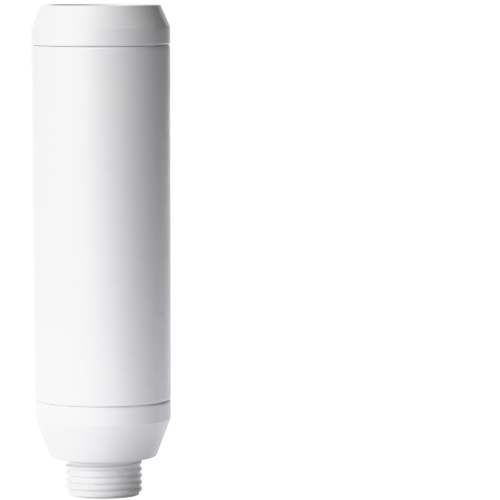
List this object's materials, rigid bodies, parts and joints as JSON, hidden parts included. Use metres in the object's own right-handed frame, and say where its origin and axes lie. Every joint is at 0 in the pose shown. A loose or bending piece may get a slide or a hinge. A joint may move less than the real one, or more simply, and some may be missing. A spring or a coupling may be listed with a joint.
{
  "type": "inline water filter",
  "caption": "Slim round inline water filter: white housing, female swivel collar at the inlet, coned outlet cap with a male threaded neck, and a filter stack inside.",
  "frame": {"origin": "centre of the outlet neck's end face, which is the lowest face of the part", "axes": "+Z along the flow axis from the outlet neck up to the inlet collar; X and Y are free about that axis, with one collar rib on +X"},
  "size_m": [0.0378, 0.0378, 0.1335],
  "materials": {
    "white_plastic": "glossy moulded plastic",
    "grey_plastic": "satin moulded plastic",
    "natural_plastic": "waxy natural plastic",
    "black_rubber": "matt rubber",
    "steel_mesh": "stainless mesh and etched disc",
    "spring_steel": "drawn stainless wire",
    "filter_felt": "pressed fibre felt",
    "carbon_granules": "packed black granules",
    "copper_zinc_granules": "packed brassy granules"
  },
  "bodies": {
    "filter_body": {"housing_tube": "white_plastic", "outlet_cap": "white_plastic", "outlet_cap_o_ring": "black_rubber", "outlet_grid": "natural_plastic", "outlet_screen": "steel_mesh", "outlet_felt": "filter_felt", "carbon_bed": "carbon_granules", "divider_felt": "filter_felt", "copper_zinc_bed": "copper_zinc_granules", "inlet_felt": "filter_felt", "inlet_screen": "steel_mesh", "spring_plate": "grey_plastic", "compression_spring": "spring_steel", "inlet_head": "grey_plastic", "inlet_head_o_ring": "black_rubber", "tailpiece": "grey_plastic", "tailpiece_o_ring": "black_rubber", "slip_ring": "natural_plastic"},
    "swivel_collar": {"collar_shell": "white_plastic", "swivel_nut": "grey_plastic"},
    "strainer": {"hose_washer": "black_rubber", "strainer_screen": "steel_mesh"}
  },
  "joints": [
    {"name": "collar_swivel", "type": "hinge", "parent": "filter_body", "child": "swivel_collar", "pos_m": [0, 0, 0.1226], "axis": [0, 0, 1], "continuous": true},
    {"name": "strainer_lift", "type": "slide", "parent": "filter_body", "child": "strainer", "axis": [0, 0, 1], "range_m": [0, 0.025]}
  ]
}
